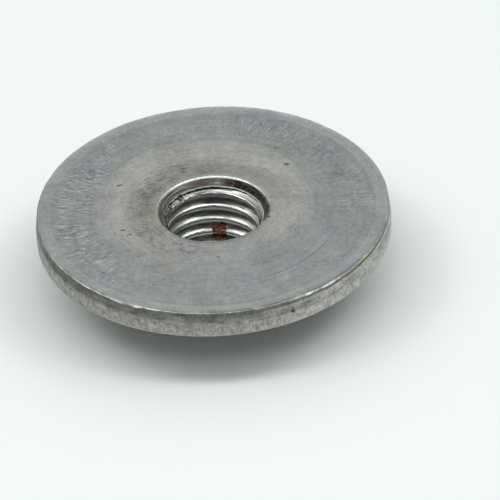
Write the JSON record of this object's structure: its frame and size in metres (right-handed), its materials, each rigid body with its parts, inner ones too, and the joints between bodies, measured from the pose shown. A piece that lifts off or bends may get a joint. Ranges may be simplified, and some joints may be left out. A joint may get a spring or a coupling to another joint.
{
  "type": "flanged wing nut",
  "caption": "Steel wing nut with a wide round flange, a tapped hub and short thumb wings welded to the flange's back.",
  "frame": {"origin": "on the thread's axis, level with the end of the hub that the nut stands on", "axes": "+Z along the thread's axis, out of the flange's bearing face; +X along the wings"},
  "size_m": [0.04, 0.04, 0.01],
  "materials": {
    "flange_steel": "bare worn steel plate, ground face with radial marks, blanked edge",
    "hub_steel": "turned bare steel",
    "wing_steel": "pressed bare steel plate",
    "weld_metal": "rippled weld metal, brushed clean"
  },
  "bodies": {
    "root": {"flange_plate": "flange_steel", "threaded_hub": "hub_steel", "wing_left": "wing_steel", "wing_right": "wing_steel", "hub_weld_front": "weld_metal", "hub_weld_back": "weld_metal", "wing_left_weld_front": "weld_metal", "wing_left_weld_back": "weld_metal", "wing_right_weld_front": "weld_metal", "wing_right_weld_back": "weld_metal"}
  },
  "joints": []
}
